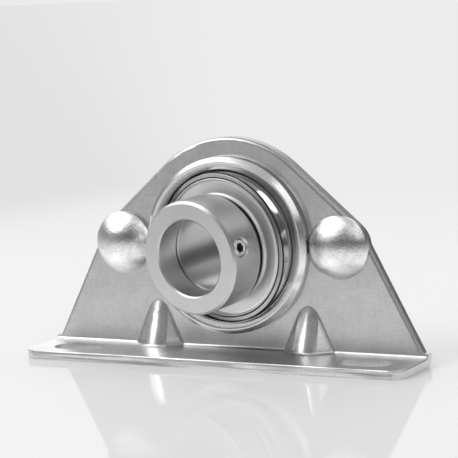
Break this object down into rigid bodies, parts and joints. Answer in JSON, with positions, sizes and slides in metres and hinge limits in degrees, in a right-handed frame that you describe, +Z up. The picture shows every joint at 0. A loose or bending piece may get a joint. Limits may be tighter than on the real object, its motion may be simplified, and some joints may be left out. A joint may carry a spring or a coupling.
{
  "type": "pillow block bearing",
  "caption": "Pillow block bearing: self-aligning insert with eccentric locking collar in a riveted pressed steel housing with a slotted base.",
  "frame": {"origin": "centre of the spherical seat and of the bearing, on the plane where the two pressings meet; 37.5 mm above the base's underside", "axes": "+Z up out of the base, X along the base, -Y towards the collar side and over the base; the insert stands swivelled 11.5 degrees in its seat, as pictured, so the bore's axis leaves the front at (-0.1807, -0.9799, -0.0843)"},
  "size_m": [0.138, 0.0387, 0.073],
  "materials": {
    "galvanised_sheet": "satin galvanised",
    "plated_rivet": "bright, slightly hammered",
    "polished_ring": "ground and polished",
    "bearing_steel": "fine ground",
    "cage_nylon": "natural glass-filled nylon",
    "satin_collar": "satin turned, zinc plated",
    "screw_steel": "bright turned, dark socket",
    "ball_steel": "mirror polished",
    "washer_steel": "satin",
    "seal_rubber": "matt nitrile rubber"
  },
  "bodies": {
    "housing": {"housing_bracket": "galvanised_sheet", "rear_retainer": "galvanised_sheet", "rivet_left": "plated_rivet", "rivet_right": "plated_rivet"},
    "insert": {"outer_ring": "polished_ring", "front_inner_washer": "washer_steel", "front_seal_lip": "seal_rubber", "front_outer_washer": "washer_steel", "rear_inner_washer": "washer_steel", "rear_seal_lip": "seal_rubber", "rear_outer_washer": "washer_steel"},
    "cage": {"ball_cage": "cage_nylon", "ball_1": "ball_steel", "ball_2": "ball_steel", "ball_3": "ball_steel", "ball_4": "ball_steel", "ball_5": "ball_steel", "ball_6": "ball_steel", "ball_7": "ball_steel", "ball_8": "ball_steel", "ball_9": "ball_steel"},
    "inner_ring": {"inner_ring": "bearing_steel"},
    "collar": {"locking_collar": "satin_collar"},
    "screw": {"set_screw": "screw_steel"}
  },
  "joints": [
    {"name": "insert_swivel", "type": "hinge", "parent": "housing", "child": "insert", "pos_m": [0, 0, 0], "axis": [0.4226, 0, -0.9063], "range_deg": [-25.5, 2.5]},
    {"name": "shaft_spin", "type": "hinge", "parent": "insert", "child": "inner_ring", "pos_m": [0, 0, 0], "axis": [-0.1807, -0.9799, -0.0843], "continuous": true},
    {"name": "cage_spin", "type": "hinge", "parent": "insert", "child": "cage", "pos_m": [0, 0, 0], "axis": [-0.1807, -0.9799, -0.0843], "continuous": true},
    {"name": "collar_lock", "type": "hinge", "parent": "inner_ring", "child": "collar", "pos_m": [0, 0, 0], "axis": [-0.1807, -0.9799, -0.0843], "range_deg": [-20, 20]},
    {"name": "screw_travel", "type": "slide", "parent": "collar", "child": "screw", "axis": [0.9604, -0.1943, 0.1996], "range_m": [-0.0004, 0.003]}
  ],
  "couplings": [
    {"joint": "cage_spin", "follows": "shaft_spin", "ratio": 0.39823}
  ]
}
